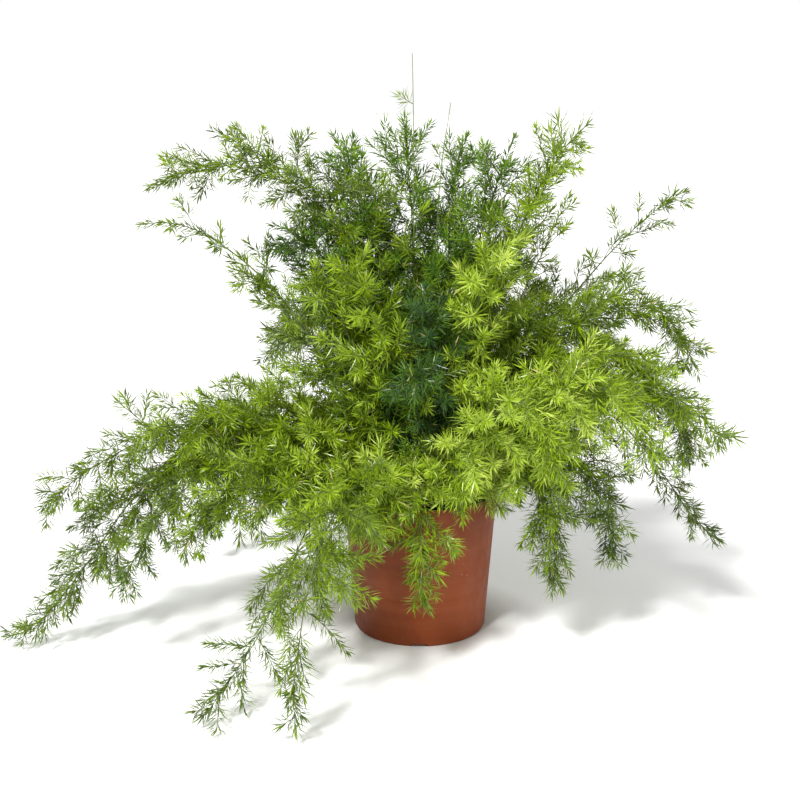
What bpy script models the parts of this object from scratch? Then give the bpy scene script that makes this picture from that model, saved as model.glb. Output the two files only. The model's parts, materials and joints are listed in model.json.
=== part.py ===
"""Asparagus fern in a round nursery pot.

Frame: metres, +Z up, origin at the middle of the pot's underside.
Azimuths are in degrees from +X (the plant's right), 270 is the front.
The pot is a turned shell, the soil a plug with one plain hole for each stem, and every frond
is one body: a bent stem, its side twigs, and needles drawn out of the twigs' faces.
"""
import math
import random
from collections import namedtuple

import bmesh
import bpy
import numpy as np
from mathutils import Matrix, Vector

# Gap between touching pieces, and the distance that welds two points into one
GAP = 0.0003
WELD = 0.00001

# Pot
POT_SIDES = 32
POT_HEIGHT = 0.155
RIM_RADIUS = 0.085
RIM_BAND = 0.015
BODY_TOP_RADIUS = 0.0822
BASE_RADIUS = 0.0716
WALL = 0.0018
FLOOR_TOP = 0.0057
FOOT_HEIGHT = 0.003
FOOT_RING_INNER = 0.0625
FOOT_CHAMFER = 0.0016
CENTRE_PAD_RADIUS = 0.030
EDGE = 0.0005
DRAIN_COUNT = 6
DRAIN_RADIUS = 0.0045
DRAIN_CIRCLE = 0.0465
NOTCH_COUNT = 4
NOTCH_WIDTH = 0.016
NOTCH_HEIGHT = 0.0026

# Soil
SOIL_TOP = 0.135
SOIL_SIDE_TOP = 0.130
SOIL_SHOULDER = 0.005
HOLE_RADIUS = 0.0032
HOLE_DEPTH = 0.0135
HOLE_LIP = 0.004
HOLE_SIDES = 6

# Stems stand in three rings
RING_RADII = (0.012, 0.031, 0.051)
FOOT_DEPTH = 0.012
STEM_ROOT_RADIUS = 0.0021
STEM_TIP_RADIUS = 0.0013
STEM_SPAN = 0.060
MIN_SPANS = 4
GUIDE_SPANS = 24
STEM_SIDES = 3

# Twigs and needles
TWIG_SIDES = 3
TWIG_ROOT_RADIUS = 0.0005
TWIG_RADIUS = 0.00075
NODE_LENGTH = 0.0017
POINT_LENGTH = 0.009
NEEDLE_RADIUS = 0.0006
NEEDLE_LENGTHS = (0.014, 0.019)
NEEDLE_OPENING = (42, 62)
GOLDEN_ANGLE = 137.5
BARE_LENGTH = 0.055
LAST_TWIG_SHARE = 0.97
SHORTEST_TWIG_SHARE = 0.45
LONGEST_TWIG_AT = 0.25
TWIG_OPENING = (42, 58)
TWIG_VARIATION = (0.9, 1.1)
TIP_TWIG = 0.034
TIP_SINK = 0.004
TWIG_FREE_FROM = 0.0063
TURNS_TRIED = 14
TURN_STEP = 47
SEED = 1000

# Room that each frond keeps from the others, from the pot and from the table
CLEAR = 0.0008
TABLE_CLEAR = 0.0025
POT_CLEAR = 0.003

# Keeps a division by the spread of two parallel lines from failing
TINY = 1e-18

# Reach and height place the stem's tip, and shoulder and rise are the two handles of its bend
Frond = namedtuple("Frond", "name ring azimuth reach height shoulder_reach shoulder_height "
                            "lean rise twigs spread")
FRONDS = [
    # Upright crown
    Frond("crown_shoot_tall", 0, 120, 0.020, 0.610, 0.010, 0.450, 2, 0.16, 2, 0.030),
    Frond("crown_shoot_thin", 0, 60, 0.060, 0.560, 0.020, 0.430, 2, 0.14, 2, 0.030),
    Frond("crown_left", 0, 174, 0.155, 0.435, 0.100, 0.430, 6, 0.18, 8, 0.080),
    Frond("crown_right", 0, 15, 0.100, 0.525, 0.070, 0.450, 4, 0.18, 7, 0.080),
    Frond("crown_front", 0, 275, 0.100, 0.370, 0.060, 0.340, 6, 0.12, 5, 0.070),
    # Steep fronds round the crown
    Frond("left_high_long", 1, 172, 0.290, 0.474, 0.100, 0.562, 4, 0.30, 9, 0.075),
    Frond("left_high_twiggy", 1, 186, 0.285, 0.440, 0.195, 0.460, 20, 0.20, 7, 0.055),
    Frond("left_high_short", 1, 200, 0.200, 0.400, 0.138, 0.388, 22, 0.16, 7, 0.055),
    Frond("left_upright", 1, 145, 0.115, 0.525, 0.075, 0.475, 8, 0.20, 8, 0.080),
    Frond("back_upright", 1, 100, 0.110, 0.540, 0.060, 0.475, 8, 0.20, 7, 0.080),
    Frond("back_right_upright", 1, 72, 0.150, 0.520, 0.095, 0.485, 10, 0.20, 8, 0.080),
    Frond("right_airy_short", 1, 34, 0.200, 0.460, 0.160, 0.400, 20, 0.16, 7, 0.060),
    Frond("right_high_open", 1, 347, 0.168, 0.540, 0.118, 0.505, 8, 0.22, 9, 0.074),
    Frond("centre_right", 1, 306, 0.140, 0.430, 0.100, 0.410, 10, 0.16, 7, 0.065),
    Frond("centre_front", 1, 268, 0.150, 0.290, 0.110, 0.330, 12, 0.14, 7, 0.060),
    Frond("centre_left", 1, 232, 0.135, 0.410, 0.090, 0.400, 10, 0.16, 7, 0.065),
    Frond("centre_far_left", 1, 212, 0.148, 0.385, 0.105, 0.400, 14, 0.16, 7, 0.055),
    # Arching and trailing fronds
    Frond("left_sweep_long", 2, 191, 0.440, 0.014, 0.340, 0.025, 42, 0.34, 10, 0.068),
    Frond("left_sweep_top", 2, 196, 0.395, 0.165, 0.345, 0.215, 22, 0.21, 9, 0.062),
    Frond("left_sweep_low", 2, 203, 0.325, 0.075, 0.315, 0.160, 30, 0.20, 8, 0.065),
    Frond("left_sweep_inner", 2, 212, 0.275, 0.130, 0.255, 0.185, 42, 0.14, 8, 0.060),
    Frond("left_sweep_short", 2, 222, 0.222, 0.160, 0.200, 0.205, 43, 0.11, 7, 0.052),
    Frond("front_left_trail", 2, 233, 0.330, 0.014, 0.190, 0.080, 34, 0.18, 8, 0.060),
    Frond("front_left_drop", 2, 249, 0.310, 0.014, 0.325, 0.155, 34, 0.17, 8, 0.056),
    Frond("front_rim_left", 2, 254, 0.148, 0.150, 0.155, 0.205, 26, 0.10, 5, 0.042),
    Frond("front_rim_drop", 2, 271, 0.135, 0.075, 0.150, 0.190, 26, 0.12, 5, 0.040),
    Frond("front_rim_right", 2, 286, 0.138, 0.172, 0.152, 0.215, 24, 0.12, 5, 0.042),
    Frond("right_near_arch", 2, 305, 0.220, 0.220, 0.200, 0.330, 22, 0.16, 8, 0.060),
    Frond("right_rim_drop", 2, 326, 0.165, 0.085, 0.185, 0.195, 28, 0.14, 6, 0.052),
    Frond("right_rim_far", 2, 343, 0.210, 0.095, 0.218, 0.195, 30, 0.16, 7, 0.052),
    Frond("right_arch_front", 2, 322, 0.280, 0.230, 0.250, 0.350, 24, 0.18, 8, 0.065),
    Frond("right_arch_low", 2, 335, 0.320, 0.238, 0.278, 0.320, 24, 0.20, 8, 0.062),
    Frond("right_arch_mid", 2, 345, 0.285, 0.205, 0.262, 0.355, 22, 0.20, 9, 0.068),
    Frond("right_arch_top", 2, 353, 0.283, 0.298, 0.240, 0.425, 18, 0.22, 9, 0.072),
    Frond("right_trail", 2, 2, 0.328, 0.094, 0.262, 0.120, 33, 0.30, 9, 0.048),
    Frond("right_airy_long", 2, 18, 0.305, 0.465, 0.235, 0.440, 26, 0.18, 7, 0.060),
    # Behind, out of the front view
    Frond("back_right_arch", 2, 40, 0.340, 0.230, 0.270, 0.370, 24, 0.20, 8, 0.070),
    Frond("back_right_low", 2, 58, 0.300, 0.080, 0.290, 0.250, 30, 0.18, 7, 0.065),
    Frond("back_arch", 2, 80, 0.330, 0.270, 0.250, 0.400, 22, 0.20, 8, 0.070),
    Frond("back_low", 2, 104, 0.300, 0.060, 0.300, 0.240, 30, 0.18, 7, 0.065),
    Frond("back_left_arch", 2, 124, 0.340, 0.240, 0.270, 0.380, 24, 0.20, 8, 0.070),
    Frond("back_left_low", 2, 146, 0.320, 0.040, 0.310, 0.220, 32, 0.18, 7, 0.060),
]

# Colour, roughness and metallic value of each finish
TERRACOTTA_PLASTIC = ((0.242, 0.066, 0.031), 0.45, 0.0)
DARK_COMPOST = ((0.030, 0.019, 0.012), 0.95, 0.0)
RING_GREENS = (
    ((0.065, 0.130, 0.015), 0.55, 0.0),
    ((0.100, 0.190, 0.020), 0.50, 0.0),
    ((0.170, 0.270, 0.030), 0.50, 0.0),
)


def clear_scene():
    """Remove what the file holds."""
    for thing in list(bpy.data.objects):
        bpy.data.objects.remove(thing)


def new_collection(name):
    """A collection linked to the scene."""
    made = bpy.data.collections.new(name)
    bpy.context.scene.collection.children.link(made)
    return made


def finish_of(name, look):
    """A Principled material with one colour, roughness and metallic value."""
    colour, roughness, metallic = look
    made = bpy.data.materials.new(name + "_finish")
    made.use_nodes = True
    shader = made.node_tree.nodes["Principled BSDF"]
    shader.inputs["Base Color"].default_value = (*colour, 1.0)
    shader.inputs["Roughness"].default_value = roughness
    shader.inputs["Metallic"].default_value = metallic
    return made


def add_object(name, mesh, group, look=None):
    """An object for a mesh, with its own finish."""
    made = bpy.data.objects.new(name, mesh)
    group.objects.link(made)
    if look is not None:
        mesh.materials.append(finish_of(name, look))
    return made


def turned(name, profile, group, look):
    """A profile of (radius, height) points, swept round Z by a Screw modifier."""
    mesh = bpy.data.meshes.new(name)
    points = [(radius, 0.0, height) for radius, height in profile]
    mesh.from_pydata(points, [(i, i + 1) for i in range(len(points) - 1)], [])
    made = add_object(name, mesh, group, look)
    screw = made.modifiers.new("turn", "SCREW")
    screw.steps = POT_SIDES
    screw.render_steps = POT_SIDES
    screw.use_merge_vertices = True
    screw.merge_threshold = WELD
    return made


def cutter_of(shape, name, piece):
    """Take a hidden cutter out of a piece, in a collection of its own."""
    mesh = bpy.data.meshes.new(name)
    shape.to_mesh(mesh)
    shape.free()
    cutter = add_object(name, mesh, new_collection(name + "s"))
    cutter.hide_render = True
    cutter.display_type = "WIRE"
    cut = piece.modifiers.new("cut", "BOOLEAN")
    cut.operation = "DIFFERENCE"
    cut.object = cutter


def inner_radius(height):
    """Radius of the pot's inner wall below its rim band."""
    band_foot = POT_HEIGHT - RIM_BAND
    slope = (BODY_TOP_RADIUS - BASE_RADIUS) / (band_foot - FOOT_HEIGHT)
    return BASE_RADIUS + slope * (height - FOOT_HEIGHT) - WALL


def build_pot(group):
    """The turned shell with a stepped rim, a foot ring, drain holes and foot notches."""
    band_foot = POT_HEIGHT - RIM_BAND
    rim_inner = RIM_RADIUS - WALL
    step_foot = band_foot - WALL
    profile = [
        (0.0, FLOOR_TOP),
        (inner_radius(FLOOR_TOP), FLOOR_TOP),
        (inner_radius(step_foot), step_foot),
        (rim_inner, band_foot + EDGE),
        (rim_inner, POT_HEIGHT - EDGE),
        (rim_inner + EDGE, POT_HEIGHT),
        (RIM_RADIUS - EDGE, POT_HEIGHT),
        (RIM_RADIUS, POT_HEIGHT - EDGE),
        (RIM_RADIUS, band_foot),
        (RIM_RADIUS - EDGE, band_foot - EDGE),
        (BODY_TOP_RADIUS, band_foot - EDGE),
        (BASE_RADIUS, FOOT_HEIGHT),
        (BASE_RADIUS - FOOT_CHAMFER, 0.0),
        (FOOT_RING_INNER + FOOT_CHAMFER, 0.0),
        (FOOT_RING_INNER, FOOT_HEIGHT),
        (CENTRE_PAD_RADIUS, FOOT_HEIGHT),
        (CENTRE_PAD_RADIUS - FOOT_CHAMFER, 0.0),
        (0.0, 0.0),
    ]
    pot = turned("pot", profile, group, TERRACOTTA_PLASTIC)
    shape = bmesh.new()
    for i in range(DRAIN_COUNT):
        place = polar(DRAIN_CIRCLE, 360 * (i + 0.5) / DRAIN_COUNT, FOOT_HEIGHT)
        bmesh.ops.create_cone(shape, cap_ends=True, segments=HOLE_SIDES, radius1=DRAIN_RADIUS,
                              radius2=DRAIN_RADIUS, depth=4 * FOOT_HEIGHT,
                              matrix=Matrix.Translation(place))
    notch_size = (BASE_RADIUS - FOOT_RING_INNER + 2 * WALL, NOTCH_WIDTH, 2 * NOTCH_HEIGHT)
    notch_middle = (BASE_RADIUS + FOOT_RING_INNER) / 2
    for i in range(NOTCH_COUNT):
        turn = Matrix.Rotation(math.radians(360 * i / NOTCH_COUNT), 4, "Z")
        place = turn @ Matrix.Translation((notch_middle, 0, 0)) @ Matrix.Diagonal((*notch_size, 1))
        bmesh.ops.create_cube(shape, size=1, matrix=place)
    cutter_of(shape, "pot_cutter", pot)


def build_soil(group, stems):
    """The soil plug, a little domed, with a blind hole for each stem."""
    profile = [
        (0.0, SOIL_TOP),
        (RING_RADII[-1] + 2 * HOLE_RADIUS, SOIL_TOP - SOIL_SHOULDER / 5),
        (inner_radius(SOIL_SIDE_TOP) - SOIL_SHOULDER, SOIL_TOP - SOIL_SHOULDER / 2),
        (inner_radius(SOIL_SIDE_TOP) - GAP, SOIL_SIDE_TOP),
        (inner_radius(FLOOR_TOP) - GAP, FLOOR_TOP + GAP),
        (0.0, FLOOR_TOP + GAP),
    ]
    soil = turned("soil", profile, group, DARK_COMPOST)
    shape = bmesh.new()
    for stem in stems:
        way = (stem[1] - stem[0]).normalized()
        top = stem[1] + HOLE_LIP * way
        bottom = stem[1] - HOLE_DEPTH * way
        bmesh.ops.create_cone(shape, cap_ends=True, segments=HOLE_SIDES, radius1=HOLE_RADIUS,
                              radius2=HOLE_RADIUS, depth=(top - bottom).length,
                              matrix=Matrix.Translation((top + bottom) / 2) @ turn_to(way))
    cutter_of(shape, "soil_cutter", soil)


def turn_to(way):
    """The rotation that takes +Z to a direction."""
    return way.to_track_quat("Z", "Y").to_matrix().to_4x4()


def polar(radius, azimuth, height):
    """A point from its radius, azimuth in degrees and height."""
    angle = math.radians(azimuth)
    return Vector((radius * math.cos(angle), radius * math.sin(angle), height))


def root_azimuths():
    """Even steps round each ring, in the order in which its stems lean."""
    found = {}
    for ring in range(len(RING_RADII)):
        members = sorted((f for f in FRONDS if f.ring == ring), key=lambda f: f.azimuth)
        step = 360 / len(members)
        start = sum(f.azimuth - i * step for i, f in enumerate(members)) / len(members)
        found.update({f.name: start + i * step for i, f in enumerate(members)})
    return found


def stem_points(frond, root_azimuth):
    """The stem's foot in the soil, then points along one bend, short of the tip's spray."""
    root = polar(RING_RADII[frond.ring], root_azimuth, SOIL_TOP)
    lean = math.radians(frond.lean)
    way = polar(math.sin(lean), frond.azimuth, math.cos(lean))
    handle = root + frond.rise * way
    shoulder = polar(frond.shoulder_reach, frond.azimuth, frond.shoulder_height)
    tip = polar(frond.reach, frond.azimuth, frond.height)
    bend = (root, handle, shoulder, tip)
    last = 1 - (TIP_TWIG - TIP_SINK) / (3 * (tip - shoulder).length)
    guide = [bend_point(bend, last * i / GUIDE_SPANS) for i in range(GUIDE_SPANS + 1)]
    length = sum((b - a).length for a, b in zip(guide, guide[1:]))
    spans = max(MIN_SPANS, round(length / STEM_SPAN))
    return [root - FOOT_DEPTH * way] + [bend_point(bend, last * i / spans)
                                        for i in range(spans + 1)]


def bend_point(bend, t):
    """A point on the cubic bend through a root and a tip with two handles."""
    root, handle, shoulder, tip = bend
    return ((1 - t) ** 3 * root + 3 * t * (1 - t) ** 2 * handle
            + 3 * t * t * (1 - t) * shoulder + t ** 3 * tip)


class Clearance:
    """Straight capsules placed so far, each with the name of the frond it belongs to."""

    def __init__(self):
        self.starts = []
        self.ends = []
        self.radii = []
        self.owners = []

    def add(self, start, end, radius, owner):
        """Keep one capsule."""
        self.starts.append(tuple(start))
        self.ends.append(tuple(end))
        self.radii.append(radius)
        self.owners.append(owner)

    def room(self, start, end, radius, skip=()):
        """Least gap from a capsule to all that are kept, without the skipped owners."""
        kept = [i for i, owner in enumerate(self.owners) if owner not in skip]
        if not kept:
            return math.inf
        p, q = np.array(start), np.array(end)
        a = np.array(self.starts)[kept]
        b = np.array(self.ends)[kept]
        return float((capsule_distances(p, q, a, b) - np.array(self.radii)[kept]).min()) - radius


def capsule_distances(p, q, a, b):
    """Distances from segment p-q to each of the segments a-b."""
    own, other = q - p, b - a
    offset = p - a
    own_own = own @ own
    other_other = np.einsum("ij,ij->i", other, other)
    other_offset = np.einsum("ij,ij->i", other, offset)
    own_other = other @ own
    own_offset = offset @ own
    spread = np.maximum(own_own * other_other - own_other ** 2, TINY)
    on_own = np.clip((own_other * other_offset - own_offset * other_other) / spread, 0, 1)
    on_other = np.clip((own_other * on_own + other_offset) / other_other, 0, 1)
    on_own = np.clip((own_other * on_other - own_offset) / own_own, 0, 1)
    gap = (p + on_own[:, None] * own) - (a + on_other[:, None] * other)
    return np.sqrt(np.einsum("ij,ij->i", gap, gap))


def in_the_open(start, end):
    """Whether a straight piece stays off the table and clear of the pot."""
    for share in (0, 0.25, 0.5, 0.75, 1):
        point = start.lerp(end, share)
        if point.z < TABLE_CLEAR:
            return False
        near_pot = math.hypot(point.x, point.y) < RIM_RADIUS + POT_CLEAR
        if near_pot and point.z < POT_HEIGHT + POT_CLEAR:
            return False
    return True


def stem_section():
    """A closed three-point outline, the cross-section of every stem."""
    outline = bpy.data.curves.new("stem_section", "CURVE")
    spline = outline.splines.new("POLY")
    spline.points.add(STEM_SIDES - 1)
    spline.use_cyclic_u = True
    for i, point in enumerate(spline.points):
        angle = 2 * math.pi * i / STEM_SIDES
        point.co = (math.cos(angle), math.sin(angle), 0.0, 1.0)
    made = bpy.data.objects.new("stem_section", outline)
    bpy.context.scene.collection.objects.link(made)
    return made


def stem_mesh(name, points, section):
    """A tube along the points, thinner to its tip, as one closed mesh."""
    curve = bpy.data.curves.new(name, "CURVE")
    curve.dimensions = "3D"
    curve.bevel_mode = "OBJECT"
    curve.bevel_object = section
    curve.use_fill_caps = True
    spline = curve.splines.new("POLY")
    spline.points.add(len(points) - 1)
    for i, point in enumerate(points):
        share = i / (len(points) - 1)
        spline.points[i].co = (*point, 1.0)
        spline.points[i].radius = STEM_ROOT_RADIUS + share * (STEM_TIP_RADIUS - STEM_ROOT_RADIUS)
    holder = bpy.data.objects.new(name, curve)
    bpy.context.scene.collection.objects.link(holder)
    bpy.context.view_layer.update()
    depsgraph = bpy.context.evaluated_depsgraph_get()
    mesh = bpy.data.meshes.new_from_object(holder.evaluated_get(depsgraph))
    bpy.data.objects.remove(holder)
    shape = bmesh.new()
    shape.from_mesh(mesh)
    bmesh.ops.remove_doubles(shape, verts=shape.verts, dist=WELD)
    bmesh.ops.recalc_face_normals(shape, faces=shape.faces)
    shape.to_mesh(mesh)
    shape.free()
    return mesh


def extruded(shape, face, move):
    """One face moved out on new side faces; returns the moved face and the sides."""
    face = bmesh.ops.extrude_discrete_faces(shape, faces=[face])["faces"][0]
    bmesh.ops.translate(shape, verts=face.verts, vec=move)
    sides = [other for edge in face.edges for other in edge.link_faces if other is not face]
    return face, sides


def twig_shape(length, nodes):
    """A three-sided twig along +Z, and the side faces of each node, where needles grow."""
    shape = bmesh.new()
    last = length - POINT_LENGTH
    heights = [last * (i + 1) / nodes - NODE_LENGTH for i in range(nodes)]
    bmesh.ops.create_cone(shape, cap_ends=True, segments=TWIG_SIDES,
                          radius1=TWIG_ROOT_RADIUS, radius2=TWIG_RADIUS, depth=heights[0],
                          matrix=Matrix.Translation((0, 0, heights[0] / 2)))
    top = max(shape.faces, key=lambda face: face.calc_center_median().z)
    level = heights[0]
    grown = []
    for height in heights:
        if height > level:
            top, sides = extruded(shape, top, Vector((0, 0, height - level)))
        top, sides = extruded(shape, top, Vector((0, 0, NODE_LENGTH)))
        grown.append(sides)
        level = height + NODE_LENGTH
    top, _ = extruded(shape, top, Vector((0, 0, NODE_LENGTH)))
    bmesh.ops.pointmerge(shape, verts=top.verts, merge_co=(0, 0, length))
    return shape, grown


def add_needles(shape, grown, place, draw, taken, name):
    """Draw a needle out of each node face that has room for one."""
    for sides in grown:
        for face in sides:
            root = face.calc_center_median()
            out = Vector((root.x, root.y, 0)).normalized()
            opening = math.radians(draw.uniform(*NEEDLE_OPENING))
            way = math.sin(opening) * out + math.cos(opening) * Vector((0, 0, 1))
            tip = root + draw.uniform(*NEEDLE_LENGTHS) * way
            start, end = place @ (root + 2 * TWIG_RADIUS * way), place @ tip
            if not in_the_open(start, end):
                continue
            if taken.room(start, end, NEEDLE_RADIUS, (name + "_twig",)) < CLEAR:
                continue
            face, _ = extruded(shape, face, way * TWIG_RADIUS)
            bmesh.ops.pointmerge(shape, verts=face.verts, merge_co=tip)
            taken.add(start, end, NEEDLE_RADIUS, name)


def along(points, share):
    """Place and direction on the stem at a share of its spans above the soil."""
    spans = len(points) - 2
    at = share * spans
    whole = min(int(at), spans - 1)
    start, end = points[whole + 1:whole + 3]
    return start.lerp(end, at - whole), (end - start).normalized()


def first_share(points):
    """Share of the stem that stays bare above the soil."""
    return BARE_LENGTH / sum((b - a).length for a, b in zip(points[1:], points[2:]))


def twig_plan(frond, points, index, draw):
    """Place, direction and length of one side twig, before any turn to find room."""
    bare = first_share(points)
    share = (index + 0.5) / frond.twigs
    spot, stem_way = along(points, bare + (LAST_TWIG_SHARE - bare) * share)
    swell = math.sin(math.pi * min(1.0, share + LONGEST_TWIG_AT))
    length = frond.spread * (SHORTEST_TWIG_SHARE + (1 - SHORTEST_TWIG_SHARE) * swell)
    return spot, stem_way, length * draw.uniform(*TWIG_VARIATION)


def place_twig(frond, spot, stem_way, length, phase, opening, taken):
    """The first turn round the stem that keeps a twig clear, as a placing matrix."""
    side = stem_way.orthogonal().normalized()
    other = stem_way.cross(side)
    for attempt in range(TURNS_TRIED):
        angle = math.radians(phase + TURN_STEP * attempt)
        out = math.cos(angle) * side + math.sin(angle) * other
        way = math.sin(opening) * out + math.cos(opening) * stem_way
        end = spot + length * way
        start = spot + TWIG_FREE_FROM * way
        if not in_the_open(start, end):
            continue
        if taken.room(start, end, TWIG_RADIUS, (frond.name + "_stem",)) < CLEAR:
            continue
        return Matrix.Translation(spot) @ turn_to(way), start, end
    return None


def join_twigs(stem, twigs):
    """Fuse the stem and all its twigs with one Boolean union, then apply it."""
    union = stem.modifiers.new("union", "BOOLEAN")
    union.operation = "UNION"
    union.solver = "MANIFOLD"
    union.operand_type = "COLLECTION"
    union.collection = twigs
    bpy.context.view_layer.update()
    depsgraph = bpy.context.evaluated_depsgraph_get()
    joined = bpy.data.meshes.new_from_object(stem.evaluated_get(depsgraph))
    stem.modifiers.remove(union)
    stem.data = joined
    for twig in list(twigs.objects):
        bpy.data.objects.remove(twig)
    bpy.data.collections.remove(twigs)


def build_frond(frond, points, section, group, taken, order):
    """One frond: its stem, a spray at the tip and side twigs all round."""
    draw = random.Random(SEED + order)
    stem = add_object(frond.name, stem_mesh(frond.name, points, section), group,
                      RING_GREENS[frond.ring])
    twigs = new_collection(frond.name + "_twigs")
    tip, tip_way = along(points, 1.0)
    plans = [(tip - TIP_SINK * tip_way, tip_way, TIP_TWIG, 0.0)]
    for index in range(frond.twigs):
        spot, stem_way, length = twig_plan(frond, points, index, draw)
        plans.append((spot, stem_way, length, math.radians(draw.uniform(*TWIG_OPENING))))
    phase = draw.uniform(0, 360)
    for index, (spot, stem_way, length, opening) in enumerate(plans):
        found = place_twig(frond, spot, stem_way, length, phase + index * GOLDEN_ANGLE,
                           opening, taken)
        if found is None:
            continue
        place, start, end = found
        nodes = 2 if index == 0 or index % 2 else 1
        shape, grown = twig_shape(length, nodes)
        taken.add(start, end, TWIG_RADIUS, frond.name + "_twig")
        add_needles(shape, grown, place, draw, taken, frond.name)
        shape.transform(place)
        mesh = bpy.data.meshes.new(frond.name)
        shape.to_mesh(mesh)
        shape.free()
        add_object(f"{frond.name}_twig_{index}", mesh, twigs)
    join_twigs(stem, twigs)


def main():
    """Build the pot, the soil and every frond."""
    clear_scene()
    group = new_collection("asparagus_fern")
    azimuths = root_azimuths()
    stems = [stem_points(frond, azimuths[frond.name]) for frond in FRONDS]
    build_pot(group)
    build_soil(group, stems)
    taken = Clearance()
    for frond, points in zip(FRONDS, stems):
        for start, end in zip(points[1:], points[2:]):
            taken.add(start, end, STEM_ROOT_RADIUS, frond.name + "_stem")
    section = stem_section()
    for order, (frond, points) in enumerate(zip(FRONDS, stems)):
        build_frond(frond, points, section, group, taken, order)
    bpy.data.objects.remove(section)


main()
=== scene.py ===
"""Looks of a potted asparagus fern: fine fronds, a satin terracotta pot and crumbly compost.

Frame: metres, +Z up, origin at the middle of the pot's underside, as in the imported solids.
Azimuths are in degrees from +X, and 270 is the front that the camera sees.
"""
import json
import math
import random
from collections import namedtuple

import bmesh
import bpy
import numpy as np
from mathutils import Matrix, Vector, noise


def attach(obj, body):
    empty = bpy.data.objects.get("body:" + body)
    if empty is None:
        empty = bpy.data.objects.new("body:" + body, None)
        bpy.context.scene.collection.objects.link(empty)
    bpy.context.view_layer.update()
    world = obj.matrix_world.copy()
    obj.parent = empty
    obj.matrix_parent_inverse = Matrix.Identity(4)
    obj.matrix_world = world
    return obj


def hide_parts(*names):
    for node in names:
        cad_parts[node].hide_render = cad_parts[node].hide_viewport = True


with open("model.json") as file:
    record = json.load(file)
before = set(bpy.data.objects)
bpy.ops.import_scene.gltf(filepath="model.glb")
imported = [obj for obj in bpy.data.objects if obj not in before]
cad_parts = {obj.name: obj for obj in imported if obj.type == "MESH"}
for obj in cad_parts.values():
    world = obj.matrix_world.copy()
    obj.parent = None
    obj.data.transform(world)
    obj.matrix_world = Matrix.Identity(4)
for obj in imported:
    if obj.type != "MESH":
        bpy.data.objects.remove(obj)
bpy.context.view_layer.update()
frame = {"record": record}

bl_info = {
    "name": "Potted asparagus fern",
    "version": (1, 0, 0),
    "blender": (4, 5, 0),
    "location": "3D View > Sidebar > Fern",
    "description": "Builds the fronds, pot, compost and studio of a potted asparagus fern",
    "category": "Object",
}

# Pot, as in the solids
POT_HEIGHT = 0.155
RIM_RADIUS = 0.085
BAND_FOOT = POT_HEIGHT - 0.015
BODY_TOP_RADIUS = 0.0822
BASE_RADIUS = 0.0716
WALL = 0.0018
FLOOR_TOP = 0.0057
FOOT_HEIGHT = 0.003
FOOT_RING_INNER = 0.0625
FOOT_CHAMFER = 0.0016
CENTRE_PAD_RADIUS = 0.030
DRAIN_COUNT = 6
DRAIN_RADIUS = 0.0045
DRAIN_CIRCLE = 0.0465
NOTCH_COUNT = 4
NOTCH_SIZE = (0.014, 0.016, 0.0052)
NOTCH_CIRCLE = 0.067
POT_SIDES = 128
DRAIN_SIDES = 24
POT_BEVEL = 0.0009
BEVEL_STEPS = 3
SMOOTH_ANGLE = 35
PICK_MARGIN = 0.0002

# Compost, as in the solids, with crumbs and lumps on it
SOIL_TOP = 0.135
SOIL_SIDE_TOP = 0.130
SOIL_GAP = 0.0003
SOIL_SIDES = 48
SOIL_RINGS = 9
CRUMB_COUNT = 420
CRUMB_RADII = (0.0010, 0.0028)
CRUMB_WIDTHS = (0.6, 1)
CRUMB_HEIGHTS = (0.5, 0.8)
CRUMB_DENTS = 0.35
CRUMB_SEED = 7
LUMP_SCALE = 90
LUMP_NOISE = (0.8, 2.2, 4)
LUMP_RISE = 0.5
LUMP_DROP = 0.2

# Stems stand in three rings. A stem's wobble grows from its foot to a share of its length.
RING_RADII = (0.012, 0.031, 0.051)
FOOT_DEPTH = 0.012
STEM_STEPS = 40
STEM_RADII = (0.0014, 0.00035)
STEM_WOBBLE = 0.0016
WOBBLE_SCALE = 22.0
WOBBLE_FULL_FROM = 0.25
BARE_LENGTH = 0.028

# Sprays, the side twigs that carry the needles. Lists of three are for the three rings.
SPRAY_STEPS = 4
SPRAY_RADII = (0.00055, 0.00025)
SPRAY_SHIFT = (0.1, 0.9)  # where in its own step a spray stands
SPRAY_OPENING = (34, 74)
SPRAY_CURLS = ((-0.10, 0.22), (-0.20, 0.20), (-0.44, 0.12))
SPRAY_SWAY = 0.24
SPRAY_FOLLOW = 0.15  # how far a spray bends towards its stem's tip
GOLDEN_ANGLE = 137.5
TURN_STEP = 47
TURNS_TRIED = 9
SHORTEST_SPRAY = 0.48
SWELL_SHIFT = 0.25  # puts the longest sprays below the middle
TAPER_FROM = 0.76
TIP_TAPERS = (0.15, 0.20, 0.45)
CROWDINGS = (1.0, 1.1, 1.0)  # above 1, sprays crowd towards the foot
LAST_SPRAYS = (0.92, 0.95, 0.985)
LAST_YOUNG_SPRAY = 0.93
SPRAY_VARIATION = (0.55, 1.30)

# An airy frond has few sprays. Its stem and its sprays are bare up to a share of their length.
AIRY_BELOW = 25
AIRY_FROM = 0.40
AIRY_BARE = 0.45

# Longer sprays fork twice
CHILD_FROM = 0.042
CHILD_PARTS = ((0.2, 0.4), (0.45, 0.7))
CHILD_LENGTH = (0.016, 0.028)
CHILD_STEPS = 2

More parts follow.
